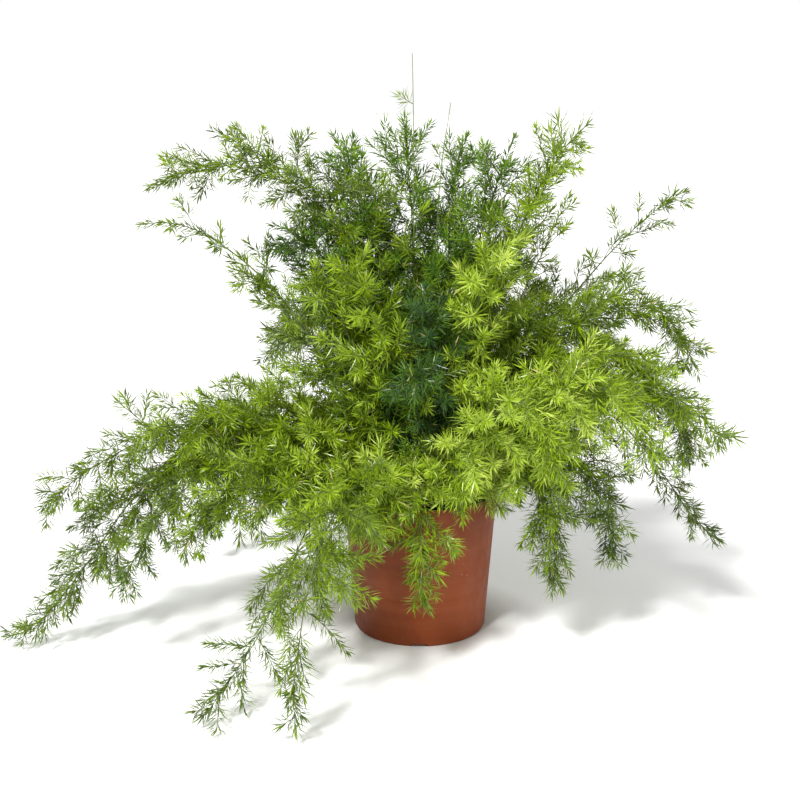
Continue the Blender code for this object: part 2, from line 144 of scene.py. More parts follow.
# Needles stand in tufts. They close up and shorten near a twig's tip.
TUFT_GAPS = (0.0019, 0.0042)
FIRST_TUFT = 0.005
TUFT_SIZES = (3, 4, 5, 6)
LAST_TUFT = 4
CLOTHED_STEM_FROM = 0.8
LENGTH_SCALES = (0.72, 1.12)
NEEDLE_HALF_WIDTH = 0.00089
NEEDLE_HALF_DEPTH = 0.00090
NEEDLE_WIDEST = 0.42
NEEDLE_LENGTHS = (0.0115, 0.0210)
NEEDLE_OPENING = (36, 82)
NEEDLE_SHUFFLE = 0.6
TIP_OPENING = (16, 56)
NEAR_TIP_FROM = 0.7
NEAR_TIP_SHARE = 0.3
TIP_CLOSING = 0.25
TIP_SHORTENING = 0.22

# A tone is a place on the needles' colour ramp: 0 is the darkest green, a painted shade, 0.9 pale
# green, a painted highlight, and 1 straw
TIP_TONES = (-0.06, 0.12, -0.36)
STEM_TONE_SHARE = 0.4
SPRAY_TONES = (-0.10, 0.10)
NEEDLE_TONES = (-0.24, 0.30, -0.02)
NEEDLE_TONE_RISE = 0.08
LIGHTEST = 0.86
DRY_TONE = 1.2
SEED = 1000

# Room kept from the table and the pot
TABLE_CLEAR = 0.0012
POT_CLEAR = 0.0015

# Finishes
POT_SPECULAR = 0.22
NEEDLE_SPECULAR = 0.45
POT_DULLING = 0.14
COMPOST_ROUGHNESS = (0.8, 1.0)
NEEDLE_ROUGHNESS = (0.26, 0.38)
STEM_ROUGHNESS = (0.42, 0.60)
FLOOR_ROUGHNESS = (0.85, 0.95)
RING_FADING = 0.22
NEEDLE_MOTTLE = 0.07
STEM_MOTTLE = 0.10
STEM_TIP_LIFT = 1.3
FLOOR_DIMMING = 0.985
GRAIN_FINENESS = 9.0

# Studio
FLOOR_SIZE = 60
FLOOR_DROP = 0.0004
# Radii over which the floor's glow fades in; inside them the fade paints a shadow under the pot
GLOW_RADII = (BASE_RADIUS, 2 * BASE_RADIUS)
KEY_PLACE = (-0.9, -1.7, 2.3)
KEY_ANGLE = 9
FILL_PLACE = (1.4, -1.5, 0.9)
FILL_SIZE = 1.6
LIGHT_AIM = (0, 0, 0.25)

# Reach and height place a stem's tip, and shoulder and rise are the two handles of its bend,
# all as in the solids. Spread is about how long its sprays are, sprays how many it carries, and
# tone how light its green is: low tones partly paint the shade in the plant's core, and high
# tones partly paint the light on its brightest fronds.
Frond = namedtuple("Frond", "name ring azimuth reach height shoulder_reach shoulder_height "
                            "lean rise spread sprays tone")
FRONDS = [
    # Upright crown
    Frond("crown_shoot_tall", 0, 120, 0.020, 0.610, 0.010, 0.450, 2, 0.16, 0.030, 5, 0.45),
    Frond("crown_shoot_thin", 0, 60, 0.060, 0.560, 0.020, 0.430, 2, 0.14, 0.030, 5, 0.45),
    Frond("crown_left", 0, 174, 0.155, 0.435, 0.100, 0.430, 6, 0.18, 0.080, 70, 0.28),
    Frond("crown_right", 0, 15, 0.100, 0.525, 0.070, 0.450, 4, 0.18, 0.080, 70, 0.36),
    Frond("crown_front", 0, 275, 0.100, 0.370, 0.060, 0.340, 6, 0.12, 0.070, 38, 0.12),
    # Steep fronds round the crown
    Frond("left_high_long", 1, 172, 0.290, 0.474, 0.100, 0.562, 4, 0.30, 0.075, 90, 0.36),
    Frond("left_high_twiggy", 1, 186, 0.285, 0.440, 0.195, 0.460, 20, 0.20, 0.055, 15, 0.36),
    Frond("left_high_short", 1, 200, 0.200, 0.400, 0.138, 0.388, 22, 0.16, 0.055, 18, 0.42),
    Frond("left_upright", 1, 145, 0.115, 0.525, 0.075, 0.475, 8, 0.20, 0.080, 84, 0.32),
    Frond("back_upright", 1, 100, 0.110, 0.540, 0.060, 0.475, 8, 0.20, 0.080, 66, 0.32),
    Frond("back_right_upright", 1, 72, 0.150, 0.520, 0.095, 0.485, 10, 0.20, 0.080, 70, 0.34),
    Frond("right_airy_short", 1, 34, 0.200, 0.460, 0.160, 0.400, 20, 0.16, 0.060, 15, 0.40),
    Frond("right_high_open", 1, 347, 0.168, 0.540, 0.118, 0.505, 8, 0.22, 0.074, 70, 0.42),
    Frond("centre_right", 1, 306, 0.140, 0.430, 0.100, 0.410, 10, 0.16, 0.065, 38, 0.72),
    Frond("centre_front", 1, 268, 0.150, 0.290, 0.110, 0.330, 12, 0.14, 0.060, 34, 0.12),
    Frond("centre_left", 1, 232, 0.135, 0.410, 0.090, 0.400, 10, 0.16, 0.065, 38, 0.52),
    Frond("centre_far_left", 1, 212, 0.148, 0.385, 0.105, 0.400, 14, 0.16, 0.055, 36, 0.52),
    # Arching and trailing fronds
    Frond("left_sweep_long", 2, 191, 0.440, 0.014, 0.340, 0.025, 42, 0.34, 0.068, 74, 0.44),
    Frond("left_sweep_top", 2, 196, 0.395, 0.165, 0.345, 0.215, 22, 0.21, 0.062, 52, 0.50),
    Frond("left_sweep_low", 2, 203, 0.325, 0.075, 0.315, 0.160, 30, 0.20, 0.065, 44, 0.44),
    Frond("left_sweep_inner", 2, 212, 0.275, 0.130, 0.255, 0.185, 42, 0.14, 0.060, 36, 0.56),
    Frond("left_sweep_short", 2, 222, 0.222, 0.160, 0.200, 0.205, 43, 0.11, 0.052, 32, 0.60),
    Frond("front_left_trail", 2, 233, 0.330, 0.014, 0.190, 0.080, 34, 0.18, 0.060, 34, 0.42),
    Frond("front_left_drop", 2, 249, 0.310, 0.014, 0.325, 0.155, 34, 0.17, 0.056, 34, 0.44),
    Frond("front_rim_left", 2, 254, 0.148, 0.150, 0.155, 0.205, 26, 0.10, 0.042, 38, 0.66),
    Frond("front_rim_drop", 2, 271, 0.135, 0.075, 0.150, 0.190, 26, 0.12, 0.040, 34, 0.52),
    Frond("front_rim_right", 2, 286, 0.138, 0.172, 0.152, 0.215, 24, 0.12, 0.042, 32, 0.70),
    Frond("right_near_arch", 2, 305, 0.220, 0.220, 0.200, 0.330, 22, 0.16, 0.060, 38, 0.74),
    Frond("right_rim_drop", 2, 326, 0.165, 0.085, 0.185, 0.195, 28, 0.14, 0.052, 44, 0.40),
    Frond("right_rim_far", 2, 343, 0.210, 0.095, 0.218, 0.195, 30, 0.16, 0.052, 46, 0.36),
    Frond("right_arch_front", 2, 322, 0.280, 0.230, 0.250, 0.350, 24, 0.18, 0.065, 42, 0.70),
    Frond("right_arch_low", 2, 335, 0.320, 0.238, 0.278, 0.320, 24, 0.20, 0.062, 52, 0.54),
    Frond("right_arch_mid", 2, 345, 0.285, 0.205, 0.262, 0.355, 22, 0.20, 0.068, 58, 0.52),
    Frond("right_arch_top", 2, 353, 0.283, 0.298, 0.240, 0.425, 18, 0.22, 0.072, 62, 0.48),
    Frond("right_trail", 2, 2, 0.328, 0.094, 0.262, 0.120, 33, 0.30, 0.048, 42, 0.38),
    Frond("right_airy_long", 2, 18, 0.305, 0.465, 0.235, 0.440, 26, 0.18, 0.060, 19, 0.44),
    # Behind, out of the front view
    Frond("back_right_arch", 2, 40, 0.340, 0.230, 0.270, 0.370, 24, 0.20, 0.070, 42, 0.50),
    Frond("back_right_low", 2, 58, 0.300, 0.080, 0.290, 0.250, 30, 0.18, 0.065, 38, 0.50),
    Frond("back_arch", 2, 80, 0.330, 0.270, 0.250, 0.400, 22, 0.20, 0.070, 42, 0.50),
    Frond("back_low", 2, 104, 0.300, 0.060, 0.300, 0.240, 30, 0.18, 0.065, 38, 0.50),
    Frond("back_left_arch", 2, 124, 0.340, 0.240, 0.270, 0.380, 24, 0.20, 0.070, 42, 0.50),
    Frond("back_left_low", 2, 146, 0.320, 0.040, 0.310, 0.220, 32, 0.18, 0.060, 38, 0.50),
]
SLOTS = {sub["node"]: sub["material_slot"] for sub in frame["record"]["subparts"]}


# Settings that a user would change

class PotSettings(bpy.types.PropertyGroup):
    """Colours and surface of the pot."""
    colour: bpy.props.FloatVectorProperty(
        name="Colour", description="Main colour of the plastic", subtype="COLOR",
        size=3, min=0, max=1, default=(0.240, 0.050, 0.010))
    # Shade is the darker end of broad random patches which, with the main colour, paint shade and
    # soft reflections on the plastic
    shade: bpy.props.FloatVectorProperty(
        name="Shade", description="Darker, shade_painted places of the plastic", subtype="COLOR",
        size=3, min=0, max=1, default=(0.140, 0.028, 0.006))
    faded: bpy.props.FloatVectorProperty(
        name="Faded", description="Paler rings of the plastic", subtype="COLOR",
        size=3, min=0, max=1, default=(0.30, 0.085, 0.028))
    dust: bpy.props.FloatVectorProperty(
        name="Dust", description="Specks of dust on the plastic", subtype="COLOR",
        size=3, min=0, max=1, default=(0.40, 0.24, 0.15))
    roughness: bpy.props.FloatProperty(
        name="Roughness", description="How dull the plastic is", subtype="FACTOR",
        min=0, max=1, default=0.50)


class CompostSettings(bpy.types.PropertyGroup):
    """Colours and relief of the compost."""
    colour: bpy.props.FloatVectorProperty(
        name="Colour", description="Moist compost", subtype="COLOR",
        size=3, min=0, max=1, default=(0.030, 0.019, 0.012))
    fibre: bpy.props.FloatVectorProperty(
        name="Fibre", description="Dry fibres in the compost", subtype="COLOR",
        size=3, min=0, max=1, default=(0.105, 0.066, 0.038))
    relief: bpy.props.FloatProperty(
        name="Relief", description="How far its lumps rise and fall", unit="LENGTH",
        min=0, max=0.01, default=0.005)


class FoliageSettings(bpy.types.PropertyGroup):
    """Colours and density of stems and needles."""
    # The darkest green paints the shade inside the plant
    painted_shade_green: bpy.props.FloatVectorProperty(
        name="Deep green", description="Painted_shade needles, inside the plant", subtype="COLOR",
        size=3, min=0, max=1, default=(0.018, 0.055, 0.013))
    inner: bpy.props.FloatVectorProperty(
        name="Inner green", description="Grown needles inside the plant", subtype="COLOR",
        size=3, min=0, max=1, default=(0.108, 0.225, 0.006))
    mid: bpy.props.FloatVectorProperty(
        name="Mid green", description="Grown needles outside", subtype="COLOR",
        size=3, min=0, max=1, default=(0.138, 0.218, 0.003))
    # Fresh green is partly young growth and partly painted light on the lit needles
    fresh: bpy.props.FloatVectorProperty(
        name="Fresh green", description="Young needles on the outside", subtype="COLOR",
        size=3, min=0, max=1, default=(0.300, 0.450, 0.010))
    # Pale green paints highlights on the needles
    pale: bpy.props.FloatVectorProperty(
        name="Pale green", description="Lightest needles", subtype="COLOR",
        size=3, min=0, max=1, default=(0.540, 0.670, 0.110))
    straw: bpy.props.FloatVectorProperty(
        name="Straw", description="Dried needles", subtype="COLOR",
        size=3, min=0, max=1, default=(0.600, 0.500, 0.200))
    stem: bpy.props.FloatVectorProperty(
        name="Stem", description="Green of the stems", subtype="COLOR",
        size=3, min=0, max=1, default=(0.105, 0.150, 0.030))
    stem_foot: bpy.props.FloatVectorProperty(
        name="Stem foot", description="Brownish foot of the stems", subtype="COLOR",
        size=3, min=0, max=1, default=(0.130, 0.110, 0.050))
    density: bpy.props.FloatProperty(
        name="Density", description="Share of the side twigs that are grown",
        min=0.1, max=1.5, default=1.0)
    dry_share: bpy.props.FloatProperty(
        name="Dry share", description="Share of the needles that have dried", subtype="FACTOR",
        min=0, max=0.2, default=0.004)


class StudioSettings(bpy.types.PropertyGroup):
    """Floor, lights and camera."""
    floor: bpy.props.FloatVectorProperty(
        name="Floor", description="Colour of the floor", subtype="COLOR",
        size=3, min=0, max=1, default=(0.90, 0.90, 0.89))
    floor_glow: bpy.props.FloatProperty(
        name="Floor glow", description="Light of the floor's own, which lifts the shadow",
        default=0.35)
    camera_place: bpy.props.FloatVectorProperty(
        name="Camera place", description="Where the camera stands", subtype="TRANSLATION",
        size=3, default=(0.0, -1.386, 0.574))
    camera_pitch: bpy.props.FloatProperty(
        name="Camera pitch", description="How far the camera looks down, in degrees",
        default=13.1)
    camera_yaw: bpy.props.FloatProperty(
        name="Camera yaw", description="How far the camera turns to the left, in degrees",
        default=0.9)
    view_angle: bpy.props.FloatProperty(
        name="View angle", description="Width of the view, in degrees", default=33.4)
    key_strength: bpy.props.FloatProperty(
        name="Key strength", description="Strength of the high soft light", default=3.9)
    fill_power: bpy.props.FloatProperty(
        name="Fill power", description="Power of the low fill light", subtype="POWER",
        default=10.0)
    ambient: bpy.props.FloatProperty(
        name="Ambient", description="Strength of the light from all around", default=0.32)


# Tools of the maker

def deselect_all():
    """Leave edit mode and select nothing."""
    if bpy.context.object and bpy.context.object.mode != "OBJECT":
        bpy.ops.object.mode_set(mode="OBJECT")
    bpy.ops.object.select_all(action="DESELECT")


def primitive(add, name, **size):
    """A new primitive with its name, alone selected and active."""
    deselect_all()
    add(**size)
    piece = bpy.context.object
    piece.name = piece.data.name = name
    return piece


def only(piece):
    """Select one object and make it active."""
    deselect_all()
    piece.select_set(True)
    bpy.context.view_layer.objects.active = piece


def pick(piece, kind, test):
    """In edit mode, select the vertices or faces whose middle passes a test."""
    modes = {"verts": "VERT", "faces": "FACE"}
    if piece.mode != "EDIT":
        bpy.ops.object.mode_set(mode="EDIT")
    bpy.ops.mesh.select_mode(type=modes[kind])
    bpy.ops.mesh.select_all(action="DESELECT")
    shape = bmesh.from_edit_mesh(piece.data)
    for element in getattr(shape, kind):
        if test(element.co if kind == "verts" else element.calc_center_median()):
            element.select_set(True)
    shape.select_flush_mode()
    bmesh.update_edit_mesh(piece.data)


def walk(radius, height, steps):
    """Extrude the selected cap through (radius, height) steps, as a turned profile."""
    for next_radius, next_height in steps:
        bpy.ops.mesh.extrude_region_move(
            TRANSFORM_OT_translate={"value": (0, 0, next_height - height)})
        scale = next_radius / radius
        bpy.ops.transform.resize(value=(scale, scale, 1), center_override=(0, 0, next_height))
        radius, height = next_radius, next_height


def apply_modifiers(piece):
    """Apply every modifier of a piece."""
    only(piece)
    for modifier in list(piece.modifiers):
        bpy.ops.object.modifier_apply(modifier=modifier.name)


def join(pieces, name):
    """Join pieces into the first one."""
    only(pieces[0])
    for other in pieces[1:]:
        other.select_set(True)
    bpy.ops.object.join()
    pieces[0].name = pieces[0].data.name = name
    return pieces[0]


def hand_over(piece, node, material):
    """Give a finished piece its material and put it in the place of its solid."""
    deselect_all()
    piece.data.materials.clear()
    piece.data.materials.append(material)
    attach(piece, "root")
    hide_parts(node)


# Materials

class Nodes:
    """A short way to add and link the nodes of one tree."""

    def __init__(self, tree):
        self.tree = tree

    def add(self, kind, inputs=(), **settings):
        """A node with its settings, and inputs given as values or as sockets to link."""
        node = self.tree.nodes.new(kind)
        for name, value in settings.items():
            setattr(node, name, value)
        for name, value in dict(inputs).items():
            if isinstance(value, bpy.types.NodeSocket):
                self.tree.links.new(value, node.inputs[name])
            else:
                node.inputs[name].default_value = value
        return node

    def ramp(self, factor, stops):
        """A colour ramp with (position, colour) stops."""
        node = self.add("ShaderNodeValToRGB", {"Fac": factor})
        elements = node.color_ramp.elements
        while len(elements) < len(stops):
            elements.new(0.5)
        for element, (position, colour) in zip(elements, stops):
            element.position = position
            element.color = (*colour, 1.0)
        return node.outputs["Color"]

    def spread(self, factor, low, high):
        """A value between low and high."""
        return self.add("ShaderNodeMapRange", {"Value": factor, "To Min": low, "To Max": high}
                        ).outputs["Result"]

    def mottle(self, scale, stretch=(1, 1, 1), low=0.3, high=0.7):
        """The shared mottle group: outputs Mask and Fine."""
        node = self.add("ShaderNodeGroup", node_tree=mottle_group())
        node.inputs["Scale"].default_value = scale
        node.inputs["Stretch"].default_value = stretch
        node.inputs["Low"].default_value = low
        node.inputs["High"].default_value = high
        return node


def mottle_group():
    """Noise in the piece's own place, as a broad mask and a fine grain, both from 0 to 1."""
    made = bpy.data.node_groups.get("mottle")
    if made:
        return made
    made = bpy.data.node_groups.new("mottle", "ShaderNodeTree")
    for name, kind in (("Scale", "Float"), ("Stretch", "Vector"), ("Low", "Float"),
                       ("High", "Float")):
        made.interface.new_socket(name, in_out="INPUT", socket_type="NodeSocket" + kind)
    for name in ("Mask", "Fine"):
        made.interface.new_socket(name, in_out="OUTPUT", socket_type="NodeSocketFloat")
    nodes = Nodes(made)
    given = nodes.add("NodeGroupInput").outputs
    place = nodes.add("ShaderNodeTexCoord").outputs["Object"]
    place = nodes.add("ShaderNodeVectorMath", {0: place, 1: given["Stretch"]},
                      operation="MULTIPLY").outputs["Vector"]
    broad = nodes.add("ShaderNodeTexNoise", {"Vector": place, "Scale": given["Scale"],
                                             "Detail": 4.0})
    finer = nodes.add("ShaderNodeMath", {0: given["Scale"], 1: GRAIN_FINENESS},
                      operation="MULTIPLY")
    fine = nodes.add("ShaderNodeTexNoise", {"Vector": place, "Scale": finer.outputs["Value"],
                                            "Detail": 2.0})
    result = nodes.add("NodeGroupOutput")
    for noise_node, name in ((broad, "Mask"), (fine, "Fine")):
        spread = nodes.add("ShaderNodeMapRange", {"Value": noise_node.outputs["Fac"],
                                                  "From Min": given["Low"],
                                                  "From Max": given["High"]})
        made.links.new(spread.outputs["Result"], result.inputs[name])
    return made


def new_material(name):
    """An empty Principled material, as its nodes and its shader."""
    made = bpy.data.materials.new(name)
    made.use_nodes = True
    return made, Nodes(made.node_tree), made.node_tree.nodes["Principled BSDF"]


def bumped(nodes, shader, height, distance, strength):
    """Feed a height through a bump into the shader's normal."""
    bump = nodes.add("ShaderNodeBump", {"Height": height, "Distance": distance,
                                        "Strength": strength})
    nodes.tree.links.new(bump.outputs["Normal"], shader.inputs["Normal"])


def pot_material(pot):
    """Satin terracotta plastic with soft patches of painted reflection and shade, faint rings, a
    fine grain and pale specks.
    """
    made, nodes, shader = new_material("terracotta_plastic")
    # Broad patches from shade to the main colour paint soft reflections and shade at random
    # places
    patches = nodes.mottle(scale=11.0, stretch=(1, 1, 0.6), low=0.34, high=0.66)
    rings = nodes.mottle(scale=6.0, stretch=(1, 1, 14), low=0.42, high=0.62)
    colour = nodes.ramp(patches.outputs["Mask"], [(0.0, pot.shade), (1.0, pot.colour)])
    fading = nodes.spread(rings.outputs["Mask"], 0, RING_FADING)
    faded = nodes.add("ShaderNodeMix", {"Factor": fading, "A": colour, "B": (*pot.faded, 1)},
                      data_type="RGBA")
    specks = nodes.mottle(scale=150.0, low=0.71, high=0.80).outputs["Mask"]
    dusty = nodes.add("ShaderNodeMix", {"Factor": specks, "A": colour_output(faded),
                                        "B": (*pot.dust, 1)}, data_type="RGBA")
    nodes.tree.links.new(colour_output(dusty), shader.inputs["Base Color"])
    dull = nodes.spread(patches.outputs["Fine"], pot.roughness, pot.roughness + POT_DULLING)
    nodes.tree.links.new(dull, shader.inputs["Roughness"])
    grain = nodes.mottle(scale=260.0).outputs["Mask"]
    bumped(nodes, shader, grain, distance=0.0002, strength=0.35)
    shader.inputs["Specular IOR Level"].default_value = POT_SPECULAR
    return made


def colour_output(mix):
    """The colour output of a Mix node."""
    return next(out for out in mix.outputs if out.type == "RGBA")


def compost_material(compost):
    """Dark moist crumbs with paler dry fibres."""
    made, nodes, shader = new_material("moist_compost")
    crumbs = nodes.mottle(scale=90.0, low=0.4, high=0.75)
    colour = nodes.ramp(crumbs.outputs["Mask"], [(0.0, compost.colour), (0.7, compost.colour),
                                                 (1.0, compost.fibre)])
    nodes.tree.links.new(colour, shader.inputs["Base Color"])
    nodes.tree.links.new(nodes.spread(crumbs.outputs["Fine"], *COMPOST_ROUGHNESS),
                         shader.inputs["Roughness"])
    grain = nodes.mottle(scale=320.0).outputs["Mask"]
    bumped(nodes, shader, grain, distance=0.0008, strength=0.8)
    return made


def needle_material(foliage, name, grown, lift):
    """Needles: the tone attribute, lifted and mottled a little, picks a green."""
    made, nodes, shader = new_material(name)
    tone = nodes.add("ShaderNodeAttribute", attribute_name="tone").outputs["Fac"]
    patches = nodes.mottle(scale=24.0)
    shift = nodes.spread(patches.outputs["Mask"], lift - NEEDLE_MOTTLE, lift + NEEDLE_MOTTLE)
    shifted = nodes.add("ShaderNodeMath", {0: tone, 1: shift}, operation="ADD")
    # The ramp runs from painted shade through the greens to painted highlights, then straw
    colour = nodes.ramp(shifted.outputs["Value"], [
        (0.0, foliage.painted_shade_green), (0.40, grown), (0.70, foliage.fresh), (0.90, foliage.pale),
        (1.0, foliage.straw)])
    nodes.tree.links.new(colour, shader.inputs["Base Color"])
    nodes.tree.links.new(nodes.spread(patches.outputs["Fine"], *NEEDLE_ROUGHNESS),
                         shader.inputs["Roughness"])
    shader.inputs["Specular IOR Level"].default_value = NEEDLE_SPECULAR
    return made


def stem_material(foliage):
    """Stems: brownish at the foot, green above, with a fine lengthwise mottle."""
    made, nodes, shader = new_material("green_stem")
    age = nodes.add("ShaderNodeAttribute", attribute_name="tone").outputs["Fac"]
    patches = nodes.mottle(scale=160.0, stretch=(1, 1, 0.2))
    shift = nodes.spread(patches.outputs["Mask"], -STEM_MOTTLE, STEM_MOTTLE)
    shifted = nodes.add("ShaderNodeMath", {0: age, 1: shift}, operation="ADD")
    tip = [STEM_TIP_LIFT * channel for channel in foliage.stem]
    colour = nodes.ramp(shifted.outputs["Value"], [
        (0.0, foliage.stem_foot), (0.25, foliage.stem), (1.0, tip)])
    nodes.tree.links.new(colour, shader.inputs["Base Color"])
    nodes.tree.links.new(nodes.spread(patches.outputs["Fine"], *STEM_ROUGHNESS),
                         shader.inputs["Roughness"])
    bumped(nodes, shader, patches.outputs["Fine"], distance=0.0002, strength=0.4)
    return made


def floor_material(studio):
    """A pale matt floor, hardly clouded, with a glow of its own that fades under the pot into a
    painted shadow.
    """
    made, nodes, shader = new_material("pale_floor")
    clouds = nodes.mottle(scale=2.0)
    dimmer = [FLOOR_DIMMING * channel for channel in studio.floor]
    colour = nodes.ramp(clouds.outputs["Mask"], [(0.0, dimmer), (1.0, studio.floor)])
    nodes.tree.links.new(colour, shader.inputs["Base Color"])
    nodes.tree.links.new(nodes.spread(clouds.outputs["Fine"], *FLOOR_ROUGHNESS),
                         shader.inputs["Roughness"])
    place = nodes.add("ShaderNodeTexCoord").outputs["Object"]
    away = nodes.add("ShaderNodeVectorMath", {0: place}, operation="LENGTH").outputs["Value"]
    # The glow fades out towards the pot, which paints a shadow under it and in its foot notches
    outside_painted_shadow = nodes.add("ShaderNodeMapRange", {"Value": away, "From Min": GLOW_RADII[0],
                                                  "From Max": GLOW_RADII[1]})
    glow = nodes.ramp(outside_painted_shadow.outputs["Result"], [(0.0, (0, 0, 0)), (1.0, studio.floor)])
    nodes.tree.links.new(glow, shader.inputs["Emission Color"])
    shader.inputs["Emission Strength"].default_value = studio.floor_glow
    return made


# Pot and compost

def inner_radius(height):
    """Radius of the pot's inner wall below its rim band."""
    slope = (BODY_TOP_RADIUS - BASE_RADIUS) / (BAND_FOOT - FOOT_HEIGHT)
    return BASE_RADIUS + slope * (height - FOOT_HEIGHT) - WALL


def polar(radius, azimuth, height):
    """A point from its radius, azimuth in degrees and height."""
    angle = math.radians(azimuth)
    return Vector((radius * math.cos(angle), radius * math.sin(angle), height))


def pot_cutter():
    """Drain holes and foot notches, as one piece to cut out of the pot."""
    cutters = []
    for i in range(DRAIN_COUNT):
        place = polar(DRAIN_CIRCLE, 360 * (i + 0.5) / DRAIN_COUNT, FOOT_HEIGHT)
        cutters.append(primitive(bpy.ops.mesh.primitive_cylinder_add, "drain",
                                 vertices=DRAIN_SIDES, radius=DRAIN_RADIUS,
                                 depth=4 * FOOT_HEIGHT, location=place))
    for i in range(NOTCH_COUNT):
        azimuth = 360 * i / NOTCH_COUNT
        cutters.append(primitive(bpy.ops.mesh.primitive_cube_add, "notch", size=1,
                                 scale=NOTCH_SIZE, location=polar(NOTCH_CIRCLE, azimuth, 0),
                                 rotation=(0, 0, math.radians(azimuth))))
    return join(cutters, "pot_cutter")


def make_pot(pot):
    """The pot: a tapered shell with a stepped rim band, foot ring, drain holes and notches."""
    piece = primitive(bpy.ops.mesh.primitive_cone_add, "nursery_pot", vertices=POT_SIDES,
                      radius1=BASE_RADIUS, radius2=BODY_TOP_RADIUS, depth=BAND_FOOT - FOOT_HEIGHT,
                      location=(0, 0, (BAND_FOOT + FOOT_HEIGHT) / 2))
    bpy.ops.object.transform_apply(location=True, rotation=True, scale=True)
    rim_inner = RIM_RADIUS - WALL
    pick(piece, "faces", lambda middle: middle.z > BAND_FOOT - PICK_MARGIN)
    walk(BODY_TOP_RADIUS, BAND_FOOT, [
        (RIM_RADIUS, BAND_FOOT), (RIM_RADIUS, POT_HEIGHT), (rim_inner, POT_HEIGHT),
        (rim_inner, BAND_FOOT), (inner_radius(BAND_FOOT - WALL), BAND_FOOT - WALL),
        (inner_radius(FLOOR_TOP), FLOOR_TOP)])
    pick(piece, "faces", lambda middle: middle.length < FOOT_HEIGHT + PICK_MARGIN)
    walk(BASE_RADIUS, FOOT_HEIGHT, [
        (BASE_RADIUS - FOOT_CHAMFER, 0), (FOOT_RING_INNER + FOOT_CHAMFER, 0),
        (FOOT_RING_INNER, FOOT_HEIGHT), (CENTRE_PAD_RADIUS, FOOT_HEIGHT),
        (CENTRE_PAD_RADIUS - FOOT_CHAMFER, 0)])
    bpy.ops.object.mode_set(mode="OBJECT")
    cutter = pot_cutter()
    cut = piece.modifiers.new("cut", "BOOLEAN")
    cut.operation = "DIFFERENCE"
    cut.object = cutter
    bevel = piece.modifiers.new("soft_edges", "BEVEL")
    bevel.width = POT_BEVEL
    bevel.segments = BEVEL_STEPS
    bevel.limit_method = "ANGLE"
    apply_modifiers(piece)
    bpy.data.objects.remove(cutter)
    only(piece)
    bpy.ops.object.shade_smooth_by_angle(angle=math.radians(SMOOTH_ANGLE))
    hand_over(piece, "pot", pot_material(pot))


def make_crumbs(radius, draw):
    """Loose crumbs: one dented lump, copied at random over the compost as one mesh."""
    lump = primitive(bpy.ops.mesh.primitive_ico_sphere_add, "crumb", subdivisions=1, radius=1)
    bpy.ops.object.mode_set(mode="EDIT")
    bpy.ops.mesh.select_all(action="SELECT")
    bpy.ops.transform.vertex_random(offset=CRUMB_DENTS, seed=CRUMB_SEED)
    bpy.ops.object.mode_set(mode="OBJECT")
    points = np.array([v.co for v in lump.data.vertices])
    faces = np.array([f.vertices[:] for f in lump.data.polygons])
    bpy.data.objects.remove(lump)
    all_points, all_faces = [], []
    for i in range(CRUMB_COUNT):
        size = draw.uniform(*CRUMB_RADII)
        spot = polar(radius * math.sqrt(draw.random()), draw.uniform(0, 360), SOIL_TOP)
        turn = np.array(Matrix.Rotation(draw.uniform(0, math.tau), 3,
                                        Vector((draw.random(), draw.random(), 1))))
        flat = np.array((1, draw.uniform(*CRUMB_WIDTHS), draw.uniform(*CRUMB_HEIGHTS)))
        all_points.append((points * flat * size) @ turn.T + np.array(spot))
        all_faces.append(faces + i * len(points))
    mesh = bpy.data.meshes.new("crumbs")
    mesh.from_pydata(np.concatenate(all_points).tolist(), [],
                     np.concatenate(all_faces).tolist())
    crumbs = bpy.data.objects.new("crumbs", mesh)
    bpy.context.collection.objects.link(crumbs)
    return crumbs


def make_compost(compost):
    """The compost: a plug whose top is raised in lumps and strewn with crumbs."""
    draw = random.Random(CRUMB_SEED)
    bottom = FLOOR_TOP + SOIL_GAP
    top_radius = inner_radius(SOIL_SIDE_TOP) - SOIL_GAP
    piece = primitive(bpy.ops.mesh.primitive_cone_add, "compost_plug", vertices=SOIL_SIDES,
                      radius1=inner_radius(FLOOR_TOP) - SOIL_GAP, radius2=top_radius,
                      depth=SOIL_SIDE_TOP - bottom, location=(0, 0, (SOIL_SIDE_TOP + bottom) / 2))
    bpy.ops.object.transform_apply(location=True, rotation=True, scale=True)
    pick(piece, "faces", lambda middle: middle.z > SOIL_SIDE_TOP - PICK_MARGIN)
    rings = [(top_radius * (1 - i / SOIL_RINGS), SOIL_TOP) for i in range(1, SOIL_RINGS)]
    walk(top_radius, SOIL_SIDE_TOP, rings)
    bpy.ops.mesh.poke()
    pick(piece, "verts", lambda point: point.z > SOIL_SIDE_TOP + PICK_MARGIN)
    bpy.ops.mesh.subdivide(number_cuts=1)
    shape = bmesh.from_edit_mesh(piece.data)
    for vert in shape.verts:
        if vert.co.z > SOIL_TOP - PICK_MARGIN:
            lift = noise.fractal(vert.co * LUMP_SCALE, *LUMP_NOISE)
            vert.co.z += compost.relief * (LUMP_RISE * lift - LUMP_DROP)
    bmesh.update_edit_mesh(piece.data)
    bpy.ops.object.mode_set(mode="OBJECT")
    crumbs = make_crumbs(top_radius - 2 * CRUMB_RADII[1], draw)
    join([piece, crumbs], "compost_plug")
    bpy.ops.object.shade_smooth()
    hand_over(piece, "soil", compost_material(compost))


# Fronds

